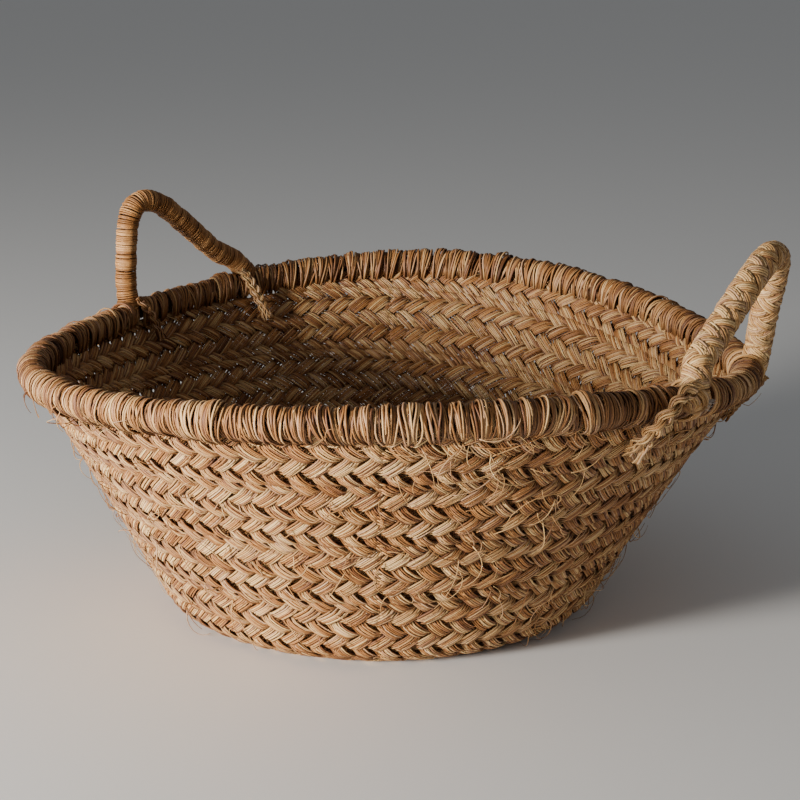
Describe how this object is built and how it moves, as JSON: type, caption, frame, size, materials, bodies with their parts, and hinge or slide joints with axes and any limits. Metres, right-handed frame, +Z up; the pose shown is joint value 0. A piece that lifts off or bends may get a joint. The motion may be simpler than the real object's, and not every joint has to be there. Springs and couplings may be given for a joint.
{
  "type": "coiled grass basket",
  "caption": "Round open basket of coiled flat grass plait, sewn turn to turn, with a bound rope rim and rope handles that tilt.",
  "frame": {"origin": "centre of the base, on the surface that the basket stands on", "axes": "+Z up, the handles towards +X and -X, +Y across"},
  "size_m": [0.4596, 0.4767, 0.2359],
  "materials": {
    "plaited_grass": "dry grass blades in flat twill plait, satin straw with pinkish grey and dark blades",
    "sewing_cord": "twisted grass cord, matte dark straw",
    "core_rope": "rough twisted grass rope, matte",
    "rim_grass": "bundles of dry grass blades bound over the rim, satin",
    "left_handle_grass": "fine grass wrap, matte brown",
    "right_handle_grass": "crossed golden grass wrap, satin"
  },
  "bodies": {
    "basket": {"centre_knot": "sewing_cord", "centre_turn": "plaited_grass", "base_turn": "plaited_grass", "heel_turn": "plaited_grass", "lower_wall_turn": "plaited_grass", "middle_wall_turn": "plaited_grass", "upper_wall_turn": "plaited_grass", "rim_turn": "plaited_grass", "end_turn": "plaited_grass", "centre_stitching": "sewing_cord", "base_stitching": "sewing_cord", "heel_stitching": "sewing_cord", "lower_stitching": "sewing_cord", "middle_stitching": "sewing_cord", "upper_stitching": "sewing_cord", "rim_stitching": "sewing_cord", "rim_rope": "core_rope", "rim_binding": "rim_grass", "left_handle_near_lashing": "left_handle_grass", "left_handle_far_lashing": "left_handle_grass", "left_handle_near_tail": "left_handle_grass", "left_handle_far_tail": "left_handle_grass", "right_handle_near_lashing": "right_handle_grass", "right_handle_far_lashing": "right_handle_grass", "right_handle_near_tail": "right_handle_grass", "right_handle_far_tail": "right_handle_grass"},
    "left_handle": {"left_handle_rope": "core_rope", "left_handle_wrap": "left_handle_grass"},
    "right_handle": {"right_handle_rope": "core_rope", "right_handle_wrap": "right_handle_grass"}
  },
  "joints": [
    {"name": "left_handle_tilt", "type": "hinge", "parent": "basket", "child": "left_handle", "pos_m": [-0.2151, 0.00794, 0.16828], "axis": [0.1838, 0.9802, 0.0731], "range_deg": [-35, 60]},
    {"name": "right_handle_tilt", "type": "hinge", "parent": "basket", "child": "right_handle", "pos_m": [0.19989, 0.116, 0.16548], "axis": [0.1766, -0.9768, 0.121], "range_deg": [-30, 75]}
  ]
}
